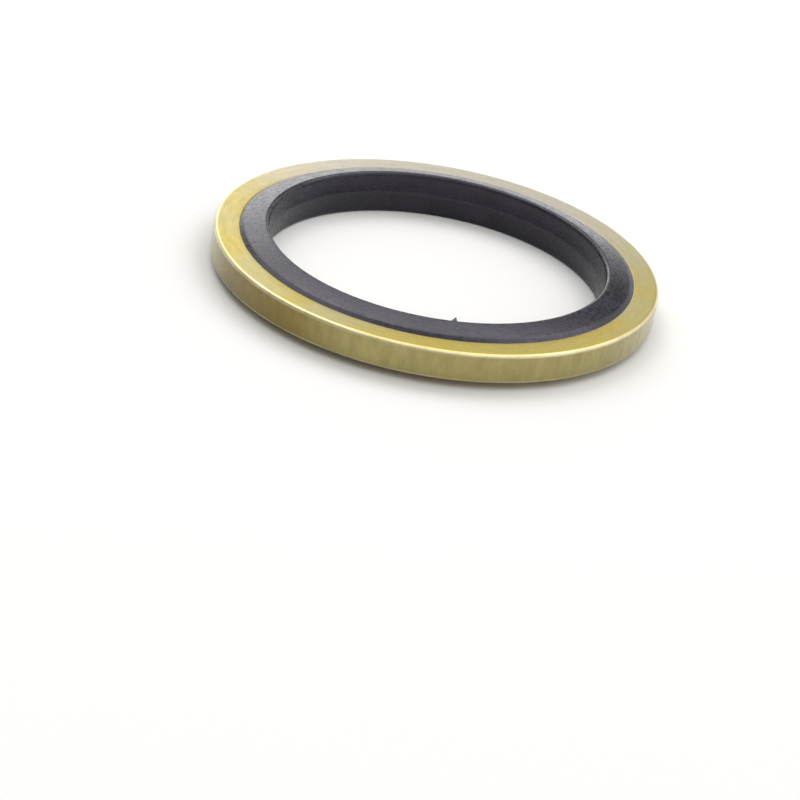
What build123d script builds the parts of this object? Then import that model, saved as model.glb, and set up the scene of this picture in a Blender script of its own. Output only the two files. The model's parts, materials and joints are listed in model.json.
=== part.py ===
from build123d import *
import math
import os

# Bonded sealing washer for an M22 thread: a flat steel ring with a rubber seal moulded and
# bonded into its bore. The rubber stands proud of both metal faces as a sealing lip.
# Millimetres, +Z up along the bore. The origin is the centre of the bore at mid thickness.

# Catalogue sizes
outer_diameter = 30.0
bore_diameter = 22.7
metal_thickness = 2.0
overall_height = 3.0

# Steel ring: blanked from sheet, its sharp edges broken before it is plated
metal_bore_diameter = 26.6
outer_edge_break = 0.18
inner_edge_break = 0.05

# Sealing lip: it rises from the metal's inner edge by a sloping flank to a soft shoulder, and from
# there by a flatter face to a rounded crown beside the bore, where a lead-in slopes down at 45 degrees
flank_width = 0.33
shoulder_above_metal = 0.18
shoulder_radius = 0.6
crown_radius = 0.28

# Bore: straight, with a low ridge of flash round the mould's parting line
flash_height = 0.07
flash_foot_width = 0.30

# Radii and heights of the section, worked out from the sizes above
ring_outer = outer_diameter / 2
ring_inner = metal_bore_diameter / 2
metal_top = metal_thickness / 2
crown_top = overall_height / 2
bond_top = metal_top - inner_edge_break
bore_radius = bore_diameter / 2

shoulder_at = ring_inner - flank_width
shoulder_top = metal_top + shoulder_above_metal

# The face and the lead-in are tangents of the crown's arc, whose middle stands one radius off the
# bore. Drawn on, they would meet in a peak.
reach = shoulder_at - bore_radius - crown_radius
rise = crown_top - crown_radius - shoulder_top
face_slope = math.atan2(rise, reach) + math.asin(crown_radius / math.hypot(rise, reach))
lead_in_foot = crown_top - crown_radius * (2 - math.sqrt(2))
face_height_at_bore = shoulder_top + (shoulder_at - bore_radius) * math.tan(face_slope)
peak_at = bore_radius + (face_height_at_bore - lead_in_foot) / (1 + math.tan(face_slope))
peak_top = lead_in_foot + peak_at - bore_radius

# Steel ring: a flat rectangle with its corners broken, turned about the bore's axis
with BuildPart() as metal_ring:
    with BuildSketch(Plane.XZ):
        with Locations(((ring_outer + ring_inner) / 2, 0)):
            Rectangle(ring_outer - ring_inner, metal_thickness)
        outer_corners = vertices().group_by(Axis.X)[-1]
        chamfer(outer_corners, outer_edge_break)
        inner_corners = vertices().group_by(Axis.X)[0]
        chamfer(inner_corners, inner_edge_break)
    revolve(axis=Axis.Z)
metal_ring.part.label = "metal_ring"

# Rubber seal: the upper half of its section is drawn, mirrored and then turned
with BuildPart() as rubber_seal:
    with BuildSketch(Plane.XZ):
        with BuildLine():
            bond = Line((ring_inner, 0), (ring_inner, bond_top))
            flank = Line(bond @ 1, (shoulder_at, shoulder_top))
            face = Line(flank @ 1, (peak_at, peak_top))
            lead_in = Line(face @ 1, (bore_radius, lead_in_foot))
            wall = Line(lead_in @ 1, (bore_radius, flash_foot_width / 2))
            flash = Line(wall @ 1, (bore_radius - flash_height, 0))
            Line(flash @ 1, bond @ 0)
        make_face()
        shoulder = vertices().sort_by_distance(flank @ 1)[0]
        fillet(shoulder, shoulder_radius)
        crown = vertices().sort_by_distance(face @ 1)[0]
        fillet(crown, crown_radius)
        mirror(about=Plane.XZ)
    revolve(axis=Axis.Z)
rubber_seal.part.label = "rubber_seal"

os.makedirs("parts", exist_ok=True)
export_step(metal_ring.part, "parts/metal_ring.step")
export_step(rubber_seal.part, "parts/rubber_seal.step")
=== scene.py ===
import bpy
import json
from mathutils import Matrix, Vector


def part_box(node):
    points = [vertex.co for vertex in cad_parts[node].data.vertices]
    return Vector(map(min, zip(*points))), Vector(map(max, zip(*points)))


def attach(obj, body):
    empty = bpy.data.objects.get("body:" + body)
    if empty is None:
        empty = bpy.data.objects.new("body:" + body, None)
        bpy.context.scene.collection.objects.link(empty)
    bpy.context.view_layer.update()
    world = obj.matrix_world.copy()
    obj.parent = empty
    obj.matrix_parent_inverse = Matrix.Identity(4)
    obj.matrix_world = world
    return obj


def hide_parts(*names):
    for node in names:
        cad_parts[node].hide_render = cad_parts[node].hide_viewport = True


bl_info = {
    "name": "Bonded sealing washer",
    "version": (1, 0, 0),
    "blender": (4, 5, 0),
    "location": "3D View > Sidebar > Sealing washer",
    "description": "A plated steel ring with a rubber seal moulded in its bore, on a pale studio floor",
    "category": "Add Mesh",
}

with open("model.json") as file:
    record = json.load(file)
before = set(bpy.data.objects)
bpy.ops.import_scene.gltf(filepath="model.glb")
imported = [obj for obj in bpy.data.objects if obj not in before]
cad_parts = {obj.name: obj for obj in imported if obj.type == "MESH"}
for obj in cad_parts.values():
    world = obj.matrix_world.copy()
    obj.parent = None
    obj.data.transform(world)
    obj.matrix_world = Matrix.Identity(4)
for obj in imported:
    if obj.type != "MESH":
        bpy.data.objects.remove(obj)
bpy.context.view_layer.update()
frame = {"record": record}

import json
import math

import bmesh
import bpy
from mathutils import Matrix, Vector

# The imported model's box, and the sizes that the pieces take from it. Metres, as all Blender sizes.
ring_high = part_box("metal_ring")[1]
seal_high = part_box("rubber_seal")[1]
bore = next(mount for mount in frame["record"]["mounts"] if mount["name"] == "bore")

MM = 0.001
OUTER_RADIUS = min(ring_high.x, ring_high.y)
METAL_TOP = ring_high.z
CROWN_TOP = seal_high.z
BOND_RADIUS = min(seal_high.x, seal_high.y)
BORE_RADIUS = bore["dims"]["r_mm"] * MM


def linear(code):
    """The scene's linear red, green and blue of an sRGB hex colour."""
    parts = [int(code[i:i + 2], 16) / 255 for i in (0, 2, 4)]
    return tuple(c / 12.92 if c <= 0.04045 else ((c + 0.055) / 1.055) ** 2.4 for c in parts)


def length(name, description, default):
    """A length that the user can change."""
    return bpy.props.FloatProperty(name=name, description=description, default=default,
                                   min=0.0, unit="LENGTH", subtype="DISTANCE", precision=5)


def colour(name, description, code):
    """A colour that the user can change."""
    return bpy.props.FloatVectorProperty(name=name, description=description, size=3, min=0.0, max=1.0,
                                         default=linear(code), subtype="COLOR")


class WasherSizes(bpy.types.PropertyGroup):
    """Fine sizes of the two pieces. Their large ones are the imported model's."""

    steps: bpy.props.IntProperty(
        name="Steps round", description="How many straight steps stand for a full turn",
        default=360, min=48, max=720)
    outer_rounding: length("Outer edge", "Radius of the steel ring's outer edges", 0.25 * MM)
    inner_rounding: length("Inner edge", "Radius of the steel ring's edges at the rubber", 0.03 * MM)
    crease_depth: length("Crease", "How far the rubber's edge lies below the metal's face", 0.02 * MM)
    flank_width: length("Flank width", "Width of the lip's sloping flank", 0.33 * MM)
    shoulder_height: length("Shoulder", "Height of the lip's shoulder above the metal's face", 0.18 * MM)
    shoulder_radius: length("Shoulder radius", "How softly the flank turns into the face", 0.6 * MM)
    crown_radius: length("Crown radius", "How softly the lip turns over into the bore", 0.28 * MM)
    flash_height: length("Flash height", "How far the parting line's ridge stands into the bore", 0.07 * MM)
    flash_width: length("Flash width", "Width of that ridge at its foot", 0.30 * MM)
    strip_thickness: length("Strip", "Thickness of the strip of flash left on the upper lip", 0.06 * MM)
    nib_length: length("Nib", "How far the nib of flash on the upper lip stands into the bore", 0.35 * MM)


class WasherColours(bpy.types.PropertyGroup):
    """Colours of the two finishes and of the stage."""

    straw: colour("Straw", "Film on the faces where it is thin", "BCB177")
    gold: colour("Gold", "Film on the faces where it is thick", "C2AD49")
    # Olive is the wall's greener film, made darker than the faces' film as painted shade.
    olive: colour("Olive", "Film on the sheared wall", "9A8F57")
    # Brown is a painted dark reflection on the wall, at its front-left.
    brown: colour("Brown", "Film where a drop dried on the wall", "786726")
    # Pale is a painted reflection of the white surroundings, laid on towards +Y.
    pale: colour("Pale", "Film on the faces where it hardly took", "CAC1B2")
    # Bare zinc at the worn outer edges, made pale enough to serve as their painted highlight.
    bare_zinc_and_highlight: colour("Bare zinc", "Zinc where handling has thinned the film", "E4D8B0")
    rubber: colour("Rubber", "Moulded nitrile rubber", "141318")
    bloom: colour("Bloom", "Grey haze on the rubber", "24222B")
    floor: colour("Floor", "Matt studio floor", "E6E5E3")


# Sockets of a Mix node, by number since their names repeat: the share of the second value, the two
# values as numbers and as colours, and the mixed colour
SHARE, NUMBER_A, NUMBER_B, COLOUR_A, COLOUR_B, MIXED_COLOUR = 0, 2, 3, 6, 7, 2


def direction(bearing, height):
    """The way to a bearing, clockwise from +Y, and a height above the horizon, both in degrees."""
    bearing, height = math.radians(bearing), math.radians(height)
    flat = math.cos(height)
    return Vector((math.sin(bearing) * flat, math.cos(bearing) * flat, math.sin(height)))


def node(tree, kind, inputs=None, **settings):
    """Adds a node with its settings. An input that is given another node's output is linked to it."""
    made = tree.nodes.new(kind)
    for name, value in settings.items():
        setattr(made, name, value)
    for socket, value in (inputs or {}).items():
        if isinstance(value, bpy.types.NodeSocket):
            tree.links.new(value, made.inputs[socket])
        else:
            made.inputs[socket].default_value = value
    return made


def new_material(name):
    """An empty node material with its output."""
    material = bpy.data.materials.new(name)
    material.use_nodes = True
    material.node_tree.nodes.clear()
    return material, material.node_tree, material.node_tree.nodes.new("ShaderNodeOutputMaterial")


def rgba(value):
    """A colour property as the four numbers that a socket takes."""
    return (*value, 1.0)


def round_the_ring(tree, place, stretch):
    """Coordinates for marks that run round the bore, `stretch` times longer than they are wide.

    Gives the coordinates and the distance from the bore's axis."""
    flat = node(tree, "ShaderNodeVectorMath", {0: place, 1: (1, 1, 0)}, operation="MULTIPLY").outputs[0]
    away = node(tree, "ShaderNodeVectorMath", {0: flat}, operation="LENGTH").outputs["Value"]
    outward = node(tree, "ShaderNodeVectorMath", {0: flat}, operation="NORMALIZE").outputs[0]
    turned = node(tree, "ShaderNodeVectorMath", {
        0: outward, "Scale": BOND_RADIUS}, operation="SCALE").outputs[0]
    height = node(tree, "ShaderNodeSeparateXYZ", {0: place}).outputs["Z"]
    across = node(tree, "ShaderNodeMath", {0: away, 1: height}, operation="ADD").outputs[0]
    across = node(tree, "ShaderNodeMath", {0: across, 1: stretch}, operation="MULTIPLY").outputs[0]
    across = node(tree, "ShaderNodeCombineXYZ", {"Z": across}).outputs[0]
    return node(tree, "ShaderNodeVectorMath", {0: turned, 1: across}).outputs[0], away


# Plate: the sizes of its patterns, and the depth to which they are felt
FILM_PATCHES = 7.0 * MM
FACE_MARKS = 1.6 * MM
FACE_MARKS_STRETCH = 4.0
WALL_MARKS = 0.55 * MM
WALL_MARKS_STRETCH = 2.5
ZINC_GRAIN = 0.12 * MM
MARKS_DEPTH = 0.006 * MM
GRAIN_DEPTH = 0.003 * MM

# Where the colour differs, each out to a bearing in degrees clockwise from +Y. The film is thick where the
# bath ran off. The wall is painted brown at one side, a painted dark reflection, and the faces pale towards
# +Y, a painted reflection of the white surroundings. A reach says how far out that way the change begins and
# is full, and a share how much of it shows there.
RUN_BEARING = 165
RUN_REACH = (10.8 * MM, 13.6 * MM)
RUN_SHARE = 0.85
DARK_REFLECTION_BEARING = -132
DARK_REFLECTION_REACH = (0.87 * OUTER_RADIUS, 0.99 * OUTER_RADIUS)
BACK_SHEEN_BEARING = 0
BACK_SHEEN_REACH = (1.0 * MM, 13.0 * MM)
BACK_SHEEN_SHARE = 0.9

# How far in from the outer wall the wall's own look begins and is full, and how far in from the wall and
# down from the face the edge's wear and painted highlight do
WALL_SKIN = (0.10 * MM, 0.02 * MM)
WEAR_AND_HIGHLIGHT_IN = (0.22 * MM, 0.08 * MM)
WEAR_AND_HIGHLIGHT_DOWN = (0.24 * MM, 0.10 * MM)


def toward(tree, place, bearing, reach, share=1.0):
    """How far a place lies out to one bearing: 0 before the reach begins, and the share past its end."""
    out = node(tree, "ShaderNodeVectorMath", {
        0: place, 1: direction(bearing, 0)}, operation="DOT_PRODUCT").outputs["Value"]
    return node(tree, "ShaderNodeMapRange", {
        "Value": out, "From Min": reach[0], "From Max": reach[1], "To Max": share},
        interpolation_type="SMOOTHSTEP").outputs[0]


def passivation_film(tree, colours, place, wall):
    """Film colour: straw to gold on the faces, olive on the wall and painted darker there as shade, painted
    pale towards +Y as a reflection.
    """
    # The film dries unevenly, so its colour drifts between straw and gold over several millimetres.
    patches = node(tree, "ShaderNodeTexNoise", {
        "Vector": place, "Scale": 1 / FILM_PATCHES, "Detail": 3.0, "Roughness": 0.6})
    tint = node(tree, "ShaderNodeMapRange", {
        "Value": patches.outputs["Fac"], "From Min": 0.40, "From Max": 0.60})
    faces = node(tree, "ShaderNodeMix", {
        SHARE: tint.outputs[0], COLOUR_A: rgba(colours.straw), COLOUR_B: rgba(colours.gold)},
        data_type="RGBA")
    # The bath ran off the ring towards the front, and its film dried thicker there.
    faces = node(tree, "ShaderNodeMix", {
        SHARE: toward(tree, place, RUN_BEARING, RUN_REACH, RUN_SHARE),
        COLOUR_A: faces.outputs[MIXED_COLOUR], COLOUR_B: rgba(colours.gold)}, data_type="RGBA")
    # The sheared wall is coarser than the rolled faces, and its film looks greener. Its colour is also
    # painted darker as shade, and brown at one side as a painted dark reflection.
    sheared = node(tree, "ShaderNodeMix", {
        SHARE: toward(tree, place, DARK_REFLECTION_BEARING, DARK_REFLECTION_REACH),
        COLOUR_A: rgba(colours.olive), COLOUR_B: rgba(colours.brown)}, data_type="RGBA")
    film = node(tree, "ShaderNodeMix", {
        SHARE: wall, COLOUR_A: faces.outputs[MIXED_COLOUR], COLOUR_B: sheared.outputs[MIXED_COLOUR]},
        data_type="RGBA")
    # Towards +Y the faces and wall are painted pale, as a painted reflection of the white surroundings.
    return node(tree, "ShaderNodeMix", {
        SHARE: toward(tree, place, BACK_SHEEN_BEARING, BACK_SHEEN_REACH, BACK_SHEEN_SHARE),
        COLOUR_A: film.outputs[MIXED_COLOUR], COLOUR_B: rgba(colours.pale)},
        data_type="RGBA").outputs[MIXED_COLOUR]


def wear_and_highlight_edges(tree, place, away, breakup):
    """How far the outer edges are paled: worn film, as parts rub together in the plating barrel at the outer
    edges first, with a painted highlight along them.
    """
    rim = node(tree, "ShaderNodeMapRange", {
        "Value": away, "From Min": OUTER_RADIUS - WEAR_AND_HIGHLIGHT_IN[0], "From Max": OUTER_RADIUS - WEAR_AND_HIGHLIGHT_IN[1]})
    height = node(tree, "ShaderNodeSeparateXYZ", {0: place}).outputs["Z"]
    height = node(tree, "ShaderNodeMath", {0: height}, operation="ABSOLUTE").outputs[0]
    brink = node(tree, "ShaderNodeMapRange", {
        "Value": height, "From Min": METAL_TOP - WEAR_AND_HIGHLIGHT_DOWN[0], "From Max": METAL_TOP - WEAR_AND_HIGHLIGHT_DOWN[1]})
    edge = node(tree, "ShaderNodeMath", {0: rim.outputs[0], 1: brink.outputs[0]}, operation="MULTIPLY")
    patchy = node(tree, "ShaderNodeMapRange", {
        "Value": breakup, "From Min": 0.3, "From Max": 0.6, "To Min": 0.5, "To Max": 1.0})
    return node(tree, "ShaderNodeMath", {
        0: edge.outputs[0], 1: patchy.outputs[0]}, operation="MULTIPLY").outputs[0]


def zinc_plate(colours):
    """Zinc plate with a yellow passivation, on blanked steel."""
    # It gives the eye a satin yellow sheen that turns olive on the wall, with painted shade there and a
    # painted dark reflection at one side, and painted pale towards +Y as a reflection, with faint marks round
    # the faces and a painted bright highlight along each worn outer edge.
    material, tree, output = new_material("yellow_passivated_zinc_plate")
    place = node(tree, "ShaderNodeTexCoord").outputs["Object"]
    along, away = round_the_ring(tree, place, FACE_MARKS_STRETCH)
    wall = node(tree, "ShaderNodeMapRange", {
        "Value": away, "From Min": OUTER_RADIUS - WALL_SKIN[0],
        "From Max": OUTER_RADIUS - WALL_SKIN[1]}).outputs[0]
    film = passivation_film(tree, colours, place, wall)

    # Soft marks round the faces from flattening, and upright ones on the wall from the blanking die
    swirl = node(tree, "ShaderNodeTexNoise", {
        "Vector": along, "Scale": 1 / FACE_MARKS, "Detail": 3.0, "Roughness": 0.6})
    upright = node(tree, "ShaderNodeVectorMath", {
        0: place, 1: (1, 1, 1 / WALL_MARKS_STRETCH)}, operation="MULTIPLY")
    shear = node(tree, "ShaderNodeTexNoise", {
        "Vector": upright.outputs[0], "Scale": 1 / WALL_MARKS, "Detail": 3.0, "Roughness": 0.6})
    marks = node(tree, "ShaderNodeMix", {
        SHARE: wall, NUMBER_A: swirl.outputs["Fac"], NUMBER_B: shear.outputs["Fac"]})
    # The zinc's grain is drawn several times coarser than it is, so that it shows at all.
    grain = node(tree, "ShaderNodeTexNoise", {
        "Vector": place, "Scale": 1 / ZINC_GRAIN, "Detail": 2.0, "Roughness": 0.6})
    shade = node(tree, "ShaderNodeMapRange", {
        "Value": marks.outputs[0], "From Min": 0.3, "From Max": 0.7, "To Min": 0.88, "To Max": 1.12})
    speckle = node(tree, "ShaderNodeMapRange", {
        "Value": grain.outputs["Fac"], "From Min": 0.3, "From Max": 0.7, "To Min": 0.93, "To Max": 1.07})
    shade = node(tree, "ShaderNodeMath", {0: shade.outputs[0], 1: speckle.outputs[0]}, operation="MULTIPLY")
    film = node(tree, "ShaderNodeMix", {
        SHARE: 1.0, COLOUR_A: film, COLOUR_B: shade.outputs[0]}, data_type="RGBA", blend_type="MULTIPLY")
    # Worn film and a painted highlight along the outer edges
    body = node(tree, "ShaderNodeMix", {
        SHARE: wear_and_highlight_edges(tree, place, away, swirl.outputs["Fac"]),
        COLOUR_A: film.outputs[MIXED_COLOUR], COLOUR_B: rgba(colours.bare_zinc_and_highlight)}, data_type="RGBA")

    satin = node(tree, "ShaderNodeMapRange", {
        "Value": marks.outputs[0], "From Min": 0.3, "From Max": 0.7, "To Min": 0.46, "To Max": 0.36})
    relief = node(tree, "ShaderNodeBump", {
        "Height": marks.outputs[0], "Distance": MARKS_DEPTH, "Strength": 1.0})
    bump = node(tree, "ShaderNodeBump", {
        "Height": grain.outputs["Fac"], "Distance": GRAIN_DEPTH, "Strength": 1.0,
        "Normal": relief.outputs["Normal"]})
    # The coat is the film's own clear gloss, which whitens the metal where it is seen at a slant.
    shader = node(tree, "ShaderNodeBsdfPrincipled", {
        "Base Color": body.outputs[MIXED_COLOUR], "Metallic": 1.0, "Roughness": satin.outputs[0],
        "Normal": bump.outputs["Normal"], "Coat Weight": 0.75, "Coat Roughness": 0.2})
    tree.links.new(shader.outputs[0], output.inputs["Surface"])
    return material


# Rubber: the sizes of its patterns, and the depth to which they are felt
HAZE_PATCHES = 2.2 * MM
TURNING_MARKS = 1.0 * MM
TURNING_STRETCH = 9.0
RUBBER_MOTTLE = 0.35 * MM
RUBBER_GRAIN = 0.10 * MM
RUBBER_DEPTH = 0.028 * MM


def nitrile_rubber(colours):
    """Nitrile rubber, moulded in a turned steel tool."""
    # It gives the eye a dark, faintly violet grey with a low broken gloss, which shows the lip's rounds and
    # turns light where it is seen at a slant.
    material, tree, output = new_material("moulded_nitrile_rubber")
    place = node(tree, "ShaderNodeTexCoord").outputs["Object"]
    along = round_the_ring(tree, place, TURNING_STRETCH)[0]
    # Cloudy patches where hands and the tool's wax have dulled it
    haze = node(tree, "ShaderNodeTexNoise", {
        "Vector": place, "Scale": 1 / HAZE_PATCHES, "Detail": 4.0, "Roughness": 0.65})
    # The tool's turning marks print as broken lines round the lip, about 0.1 mm wide.
    turning = node(tree, "ShaderNodeTexNoise", {
        "Vector": along, "Scale": 1 / TURNING_MARKS, "Detail": 2.0, "Roughness": 0.55})
    # The tool's etched grain and its mottle are drawn a few times coarser than they are, so that they show.
    grain = node(tree, "ShaderNodeTexNoise", {
        "Vector": place, "Scale": 1 / RUBBER_GRAIN, "Detail": 2.0, "Roughness": 0.6})
    mottle = node(tree, "ShaderNodeTexNoise", {
        "Vector": place, "Scale": 1 / RUBBER_MOTTLE, "Detail": 3.0, "Roughness": 0.75})
    marks = node(tree, "ShaderNodeMix", {
        SHARE: 0.5, NUMBER_A: turning.outputs["Fac"], NUMBER_B: grain.outputs["Fac"]})
    marks = node(tree, "ShaderNodeMix", {
        SHARE: 0.5, NUMBER_A: marks.outputs[0], NUMBER_B: mottle.outputs["Fac"]})
    tint = node(tree, "ShaderNodeMapRange", {
        "Value": haze.outputs["Fac"], "From Min": 0.35, "From Max": 0.7})
    body = node(tree, "ShaderNodeMix", {
        SHARE: tint.outputs[0], COLOUR_A: rgba(colours.rubber), COLOUR_B: rgba(colours.bloom)},
        data_type="RGBA")
    satin = node(tree, "ShaderNodeMapRange", {
        "Value": marks.outputs[0], "From Min": 0.40, "From Max": 0.60, "To Min": 0.16, "To Max": 0.38})
    bump = node(tree, "ShaderNodeBump", {
        "Height": marks.outputs[0], "Distance": RUBBER_DEPTH, "Strength": 1.0})
    # Wax that has come to the surface gives the gloss its violet tint.
    shader = node(tree, "ShaderNodeBsdfPrincipled", {
        "Base Color": body.outputs[MIXED_COLOUR], "Roughness": satin.outputs[0], "IOR": 1.47,
        "Specular Tint": (0.92, 0.87, 1.0, 1.0), "Normal": bump.outputs["Normal"]})
    tree.links.new(shader.outputs[0], output.inputs["Surface"])
    return material


# Floor: its radius and sides, and the distances from its middle at which it begins to turn white and
# is white
FLOOR_RADIUS = 1.0
FLOOR_SIDES = 96
FLOOR_FADE = (35 * MM, 110 * MM)


def floor_paper(colours):
    """Matt pale paper."""
    # It gives the eye a plain ground that shows the part's shadow and fades into white surroundings.
    material, tree, output = new_material("matt_studio_paper")
    place = node(tree, "ShaderNodeTexCoord").outputs["Object"]
    paper = node(tree, "ShaderNodeBsdfDiffuse", {"Color": rgba(colours.floor)})
    away = node(tree, "ShaderNodeVectorMath", {0: place}, operation="LENGTH")
    fade = node(tree, "ShaderNodeMapRange", {
        "Value": away.outputs["Value"], "From Min": FLOOR_FADE[0], "From Max": FLOOR_FADE[1]},
        interpolation_type="SMOOTHSTEP")
    white = node(tree, "ShaderNodeEmission", {"Color": (1, 1, 1, 1), "Strength": 1.0})
    mixed = node(tree, "ShaderNodeMixShader", {
        0: fade.outputs[0], 1: paper.outputs[0], 2: white.outputs[0]})
    tree.links.new(mixed.outputs[0], output.inputs["Surface"])
    return material


def start(context):
    """Leaves nothing selected, so that the next operator acts only on what it adds."""
    if context.mode != "OBJECT":
        bpy.ops.object.mode_set(mode="OBJECT")
    bpy.ops.object.select_all(action="DESELECT")


def pick(context, test, kind):
    """In edit mode, selects the edges or the faces that pass the test of each and of its middle."""
    mesh = context.edit_object.data
    bpy.ops.mesh.select_all(action="DESELECT")
    shape = bmesh.from_edit_mesh(mesh)
    for part in getattr(shape, kind):
        if kind == "edges":
            middle = (part.verts[0].co + part.verts[1].co) / 2
        else:
            middle = part.calc_center_median()
        part.select_set(test(part, middle))
    shape.select_flush_mode()
    bmesh.update_edit_mesh(mesh)


# Lengths under which two places count as one: where edges are picked, where doubles are merged, and
# where the seal's halves meet
SAME_PLACE = 0.004 * MM
DOUBLES = 0.0005 * MM
MIRROR_JOIN = 0.001 * MM


def along_ring(radius, height):
    """A test for the edges of one circle round the bore's axis."""
    def test(edge, middle):
        return all(abs(v.co.xy.length - radius) < SAME_PLACE and abs(v.co.z - height) < SAME_PLACE
                   for v in edge.verts)
    return test


def round_edges(radius, steps):
    """Rounds the selected edges, by how far the round reaches along the faces beside them."""
    bpy.ops.mesh.bevel(offset=radius, offset_type="OFFSET", segments=steps, profile=0.5,
                       affect="EDGES", clamp_overlap=False)


def close(context, name, material, node_name):
    """Merges doubles, points the faces outwards, and puts the finished piece in the frame."""
    bpy.ops.mesh.select_all(action="SELECT")
    bpy.ops.mesh.remove_doubles(threshold=DOUBLES)
    bpy.ops.mesh.normals_make_consistent(inside=False)
    bpy.ops.object.mode_set(mode="OBJECT")
    piece = context.object
    piece.name = piece.data.name = name
    bpy.ops.object.shade_smooth()
    # The large flat faces stay flat to the light, and the rounds between them stay smooth.
    flat = piece.modifiers.new("flat_faces", "WEIGHTED_NORMAL")
    flat.mode = "FACE_AREA"
    flat.keep_sharp = True
    bpy.ops.object.modifier_apply(modifier=flat.name)
    piece.data.materials.append(material)
    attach(piece, "root")
    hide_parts(node_name)


# Steel ring: rings of faces across each flat, steps in each rounded edge, how upright the normal of a
# flat's face is at least, and how near to the bore's circle its open edges lie
FLAT_BANDS = 6
EDGE_STEPS = 7
FLAT_NORMAL = 0.9
NEAR_CIRCLE = 0.05 * MM


class WASHER_OT_metal_ring(bpy.types.Operator):
    """Adds the plated steel ring"""

    bl_idname = "washer.metal_ring"
    bl_label = "Steel ring"
    bl_options = {"REGISTER", "UNDO"}

    def execute(self, context):
        sizes = context.scene.washer_sizes
        start(context)
        bpy.ops.mesh.primitive_cylinder_add(
            vertices=sizes.steps, radius=OUTER_RADIUS, depth=2 * METAL_TOP, end_fill_type="NGON",
            enter_editmode=True)
        # The bands go in as far as the bore, which is opened by taking what is left of the two ends.
        bpy.ops.mesh.select_mode(type="FACE")
        pick(context, lambda face, middle: abs(face.normal.z) > FLAT_NORMAL, "faces")
        for _ in range(FLAT_BANDS):
            bpy.ops.mesh.inset(thickness=(OUTER_RADIUS - BOND_RADIUS) / FLAT_BANDS)
        bpy.ops.mesh.delete(type="FACE")
        bpy.ops.mesh.select_mode(type="EDGE")
        pick(context, lambda edge, middle: edge.is_boundary
             and abs(middle.xy.length - BOND_RADIUS) < NEAR_CIRCLE, "edges")
        bpy.ops.mesh.bridge_edge_loops()
        for radius, rounding in ((OUTER_RADIUS, sizes.outer_rounding), (BOND_RADIUS, sizes.inner_rounding)):
            top, bottom = along_ring(radius, METAL_TOP), along_ring(radius, -METAL_TOP)
            pick(context, lambda edge, middle: top(edge, middle) or bottom(edge, middle), "edges")
            round_edges(rounding, EDGE_STEPS)
        material = zinc_plate(context.scene.washer_colours)
        close(context, "metal_ring_plated", material, "metal_ring")
        return {"FINISHED"}


# Rubber seal: steps in each rounded corner of its section, and how much lower the crown is drawn because
# a bevel's profile stands a little proud of a true arc
FILLET_STEPS = 8
BEVEL_PROUD = 0.003 * MM

# Where the flash was left on the upper lip, in degrees round the bore's axis from +X, the width of the
# nib's root, and how far its tip leans round
STRIP_BEARINGS = (150, 175)
NIB_BEARING = -81
NIB_WIDTH = 2
NIB_LEAN = 0.8
# The flash stands on the crown's inner side: how far out and down that goes, as shares of its radius
FLASH_OUT = 0.45
FLASH_DOWN = 0.7
# The nib's tip: its size as a share of its root's, and how far it lies below the crown's top
NIB_TIP = 0.15
NIB_DROP = 0.015 * MM


def extend_section(last, here):
    """Extrudes the selected circle from its last radius and height to new ones, in edit mode."""
    bpy.ops.mesh.extrude_edges_move(TRANSFORM_OT_translate={"value": (0, 0, here[1] - last[1])})
    share = here[0] / last[0]
    bpy.ops.transform.resize(value=(share, share, 1), center_override=(0, 0, here[1]))


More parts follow.
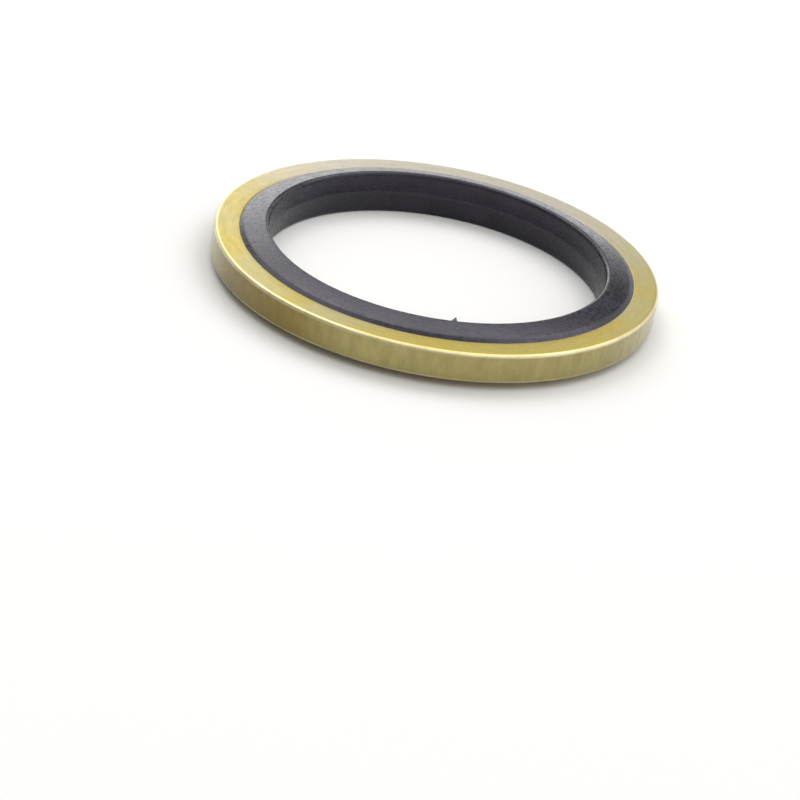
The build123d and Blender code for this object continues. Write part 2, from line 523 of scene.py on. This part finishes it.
class WASHER_OT_rubber_seal(bpy.types.Operator):
    """Adds the rubber seal"""

    bl_idname = "washer.rubber_seal"
    bl_label = "Rubber seal"
    bl_options = {"REGISTER", "UNDO"}

    def execute(self, context):
        sizes = context.scene.washer_sizes
        start(context)
        foot, section = self.lip_section(sizes)
        bpy.ops.mesh.primitive_circle_add(
            vertices=sizes.steps, radius=BOND_RADIUS, fill_type="NOTHING", enter_editmode=True)
        bpy.ops.mesh.select_mode(type="EDGE")
        corners = [Vector(place) for place, _ in section]
        for last, here in zip(corners, corners[1:]):
            extend_section(last, here)
        for (last, here, after), (_, radius) in zip(zip(corners, corners[1:], corners[2:]), section[1:]):
            if radius:
                turn = (here - last).angle(after - here)
                pick(context, along_ring(*here), "edges")
                round_edges(radius * math.tan(turn / 2), FILLET_STEPS)
        # The foot's upright wall would otherwise darken the flank's shading.
        pick(context, along_ring(*foot), "edges")
        bpy.ops.mesh.mark_sharp()
        bpy.ops.object.mode_set(mode="OBJECT")
        mirror = context.object.modifiers.new("both_faces", "MIRROR")
        mirror.use_axis = (False, False, True)
        mirror.merge_threshold = MIRROR_JOIN
        bpy.ops.object.modifier_apply(modifier=mirror.name)
        bpy.ops.object.mode_set(mode="EDIT")
        self.leave_flash(context, sizes)
        material = nitrile_rubber(context.scene.washer_colours)
        close(context, "rubber_seal_moulded", material, "rubber_seal")
        return {"FINISHED"}

    def lip_section(self, sizes):
        """The foot, and the upper half of the section: each corner's place, and the radius of its round."""
        foot = (BOND_RADIUS, METAL_TOP - sizes.crease_depth)
        shoulder = (BOND_RADIUS - sizes.flank_width, METAL_TOP + sizes.shoulder_height)
        # The face is a tangent of the crown's arc, which ends at the bore. Drawn on, they meet in a peak.
        reach = shoulder[0] - BORE_RADIUS - sizes.crown_radius
        rise = CROWN_TOP - BEVEL_PROUD - sizes.crown_radius - shoulder[1]
        slope = math.atan2(rise, reach) + math.asin(sizes.crown_radius / math.hypot(rise, reach))
        peak = (BORE_RADIUS, shoulder[1] + (shoulder[0] - BORE_RADIUS) * math.tan(slope))
        return foot, (
            ((BOND_RADIUS, 0.0), 0.0), (foot, 0.0), (shoulder, sizes.shoulder_radius),
            (peak, sizes.crown_radius), ((BORE_RADIUS, sizes.flash_width / 2), 0.0),
            ((BORE_RADIUS - sizes.flash_height, 0.0), 0.0))

    def leave_flash(self, context, sizes):
        """Leaves what trimming left of the mould's flash at the upper lip: a thin strip and a nib."""
        bpy.ops.mesh.select_mode(type="FACE")
        furthest = BORE_RADIUS + FLASH_OUT * sizes.crown_radius
        lowest = CROWN_TOP - FLASH_DOWN * sizes.crown_radius

        def brink(first, last):
            def test(face, middle):
                bearing = math.degrees(math.atan2(middle.y, middle.x))
                return first < bearing < last and middle.xy.length < furthest and middle.z > lowest
            return test

        pick(context, brink(*STRIP_BEARINGS), "faces")
        bpy.ops.mesh.extrude_region_shrink_fatten(TRANSFORM_OT_shrink_fatten={"value": sizes.strip_thickness})
        half = NIB_WIDTH / 2
        pick(context, brink(NIB_BEARING - half, NIB_BEARING + half), "faces")
        shape = bmesh.from_edit_mesh(context.edit_object.data)
        faces = [face for face in shape.faces if face.select]
        root = sum((face.calc_center_median() for face in faces), Vector()) / len(faces)
        bearing = math.radians(NIB_BEARING + NIB_LEAN)
        reach = BORE_RADIUS - sizes.nib_length
        tip = Vector((reach * math.cos(bearing), reach * math.sin(bearing), CROWN_TOP - NIB_DROP))
        bpy.ops.mesh.extrude_region_move(TRANSFORM_OT_translate={"value": tip - root})
        bpy.ops.transform.resize(value=(NIB_TIP, NIB_TIP, NIB_TIP), center_override=tip)


# Softboxes: the bearing and height above the horizon at which they stand from the part, in degrees,
# their width and height as they face it, in millimetres, and their brightness, where 1 is a white
# card. Bearing 0 is straight behind the part.
SOFTBOX_DISTANCE = 400 * MM
SOFTBOXES = {
    "overhead_softbox": (16, 61, 480, 240, 2.1),
    "front_card": (180, 66, 500, 330, 0.9),
    "left_softbox": (-18.5, 20, 116, 208, 2.15),
    "left_card": (-47, 54, 260, 320, 1.75),
    "low_strip": (1.5, 5.5, 150, 77, 1.1),
    "low_left_strip": (-35, 6, 305, 84, 0.25),
    "left_filler": (-31, 25, 60, 110, 1.25),
    "low_left_card": (-8, 14, 55, 80, 1.35),
    "low_right_card": (9, 13, 50, 70, 0.7),
}

# The room round them is white near the floor, so that no horizon shows. HORIZON_BAND holds the sines of
# the two heights between which that gives way. Higher up the room is dark at one side and light at the
# other: its level, how it grows towards +X, +Y and up, and the least that it falls to.
HORIZON_LEVEL = 1.0
HORIZON_BAND = (0.10, 0.28)
ROOM_LEVEL = 0.30
ROOM_SLOPE = (0.96, 0.03, 0.18)
ROOM_LEAST = 0.3
# A dark doorway in it: the way there, how many degrees off that it begins and is full, and the light left
DOORWAY = direction(18, 26)
DOORWAY_EDGE = (13.5, 7.0)
DOORWAY_LEFT = 0.15

# Camera: how far it looks down and leans, in degrees, and where the middle of the steel's upper face lies
# from it: so far ahead, right of the view's middle and above it
FRAME_PIXELS = 800
FOCAL_PIXELS = 2700
SENSOR_WIDTH = 36.0
CAMERA_TILT = 27.1441
CAMERA_LEAN = 10.5135
FACE_AHEAD = 179.829 * MM
FACE_RIGHT = 2.5096 * MM
FACE_ABOVE = 9.9744 * MM
CAMERA_CLIP = (0.01, 10.0)


class WASHER_OT_stage(bpy.types.Operator):
    """Adds the floor, the lamps and the camera"""

    bl_idname = "washer.stage"
    bl_label = "Stage"
    bl_options = {"REGISTER", "UNDO"}

    def execute(self, context):
        start(context)
        self.lay_floor(context)
        self.set_lamps(context)
        context.scene.world = self.paint_room()
        context.scene.camera = self.aim_camera(context)
        context.scene.view_settings.view_transform = "Standard"
        return {"FINISHED"}

    def lay_floor(self, context):
        """A round of pale paper under the part."""
        bpy.ops.mesh.primitive_circle_add(
            vertices=FLOOR_SIDES, radius=FLOOR_RADIUS, fill_type="NGON", location=(0, 0, -CROWN_TOP))
        floor = context.object
        floor.name = floor.data.name = "floor"
        floor.data.materials.append(floor_paper(context.scene.washer_colours))

    def set_lamps(self, context):
        """The softboxes, each facing the part and unseen by the camera."""
        for name, (bearing, height, wide, high, brightness) in SOFTBOXES.items():
            way = direction(bearing, height)
            bpy.ops.object.light_add(type="AREA", location=SOFTBOX_DISTANCE * way)
            lamp = context.object
            lamp.name = lamp.data.name = name
            lamp.data.shape = "RECTANGLE"
            lamp.data.size, lamp.data.size_y = wide * MM, high * MM
            lamp.data.energy = brightness * math.pi * lamp.data.size * lamp.data.size_y
            lamp.rotation_euler = way.to_track_quat("Z", "Y").to_euler()
            lamp.visible_camera = False

    def paint_room(self):
        """The world, as the room that the part mirrors."""
        world = bpy.data.worlds.new("studio")
        world.use_nodes = True
        tree = world.node_tree
        tree.nodes.clear()
        way = node(tree, "ShaderNodeTexCoord").outputs["Generated"]
        height = node(tree, "ShaderNodeSeparateXYZ", {0: way}).outputs["Z"]
        above = node(tree, "ShaderNodeMapRange", {
            "Value": height, "From Min": HORIZON_BAND[0], "From Max": HORIZON_BAND[1]},
            interpolation_type="SMOOTHSTEP")
        side = node(tree, "ShaderNodeVectorMath", {0: way, 1: ROOM_SLOPE}, operation="DOT_PRODUCT")
        room = node(tree, "ShaderNodeMath", {0: side.outputs["Value"], 1: ROOM_LEVEL}, operation="ADD")
        room = node(tree, "ShaderNodeMath", {0: room.outputs[0], 1: ROOM_LEAST}, operation="MAXIMUM")
        facing = node(tree, "ShaderNodeVectorMath", {0: way, 1: DOORWAY}, operation="DOT_PRODUCT")
        begins, full = (math.cos(math.radians(angle)) for angle in DOORWAY_EDGE)
        doorway = node(tree, "ShaderNodeMapRange", {
            "Value": facing.outputs["Value"], "From Min": begins, "From Max": full,
            "To Min": 1.0, "To Max": DOORWAY_LEFT}, interpolation_type="SMOOTHSTEP")
        room = node(tree, "ShaderNodeMath", {0: room.outputs[0], 1: doorway.outputs[0]}, operation="MULTIPLY")
        level = node(tree, "ShaderNodeMix", {
            SHARE: above.outputs[0], NUMBER_A: HORIZON_LEVEL, NUMBER_B: room.outputs[0]})
        sky = node(tree, "ShaderNodeBackground", {"Color": (1, 1, 1, 1), "Strength": level.outputs[0]})
        node(tree, "ShaderNodeOutputWorld", {"Surface": sky.outputs[0]})
        return world

    def aim_camera(self, context):
        """The camera, in front of the part and above it."""
        tilt, lean = math.radians(CAMERA_TILT), math.radians(CAMERA_LEAN)
        forward = Vector((0, math.cos(tilt), -math.sin(tilt)))
        level_up = Vector((0, math.sin(tilt), math.cos(tilt)))
        side = Vector((1, 0, 0))
        right = side * math.cos(lean) + level_up * math.sin(lean)
        up = level_up * math.cos(lean) - side * math.sin(lean)
        face = Vector((0, 0, METAL_TOP))
        place = face - forward * FACE_AHEAD - right * FACE_RIGHT - up * FACE_ABOVE
        bpy.ops.object.camera_add(location=place)
        camera = context.object
        camera.name = camera.data.name = "camera"
        camera.rotation_euler = Matrix((right, up, -forward)).transposed().to_euler()
        camera.data.sensor_width = SENSOR_WIDTH
        camera.data.lens = SENSOR_WIDTH * FOCAL_PIXELS / FRAME_PIXELS
        camera.data.clip_start, camera.data.clip_end = CAMERA_CLIP
        return camera


class WASHER_PT_panel(bpy.types.Panel):
    """Lists the part's pieces, sizes and colours"""

    bl_idname = "WASHER_PT_panel"
    bl_label = "Sealing washer"
    bl_space_type = "VIEW_3D"
    bl_region_type = "UI"
    bl_category = "Sealing washer"

    def draw(self, context):
        column = self.layout.column()
        for operator in OPERATORS:
            column.operator(operator.bl_idname)
        for group in (context.scene.washer_sizes, context.scene.washer_colours):
            for name in group.bl_rna.properties.keys():
                if name not in ("rna_type", "name"):
                    column.prop(group, name)


OPERATORS = (WASHER_OT_metal_ring, WASHER_OT_rubber_seal, WASHER_OT_stage)
CLASSES = (WasherSizes, WasherColours, *OPERATORS, WASHER_PT_panel)


def register():
    for each in CLASSES:
        bpy.utils.register_class(each)
    bpy.types.Scene.washer_sizes = bpy.props.PointerProperty(type=WasherSizes)
    bpy.types.Scene.washer_colours = bpy.props.PointerProperty(type=WasherColours)


def unregister():
    del bpy.types.Scene.washer_sizes
    del bpy.types.Scene.washer_colours
    for each in reversed(CLASSES):
        bpy.utils.unregister_class(each)


def main():
    register()
    bpy.ops.washer.metal_ring()
    bpy.ops.washer.rubber_seal()
    bpy.ops.washer.stage()


if __name__ == "__main__":
    main()
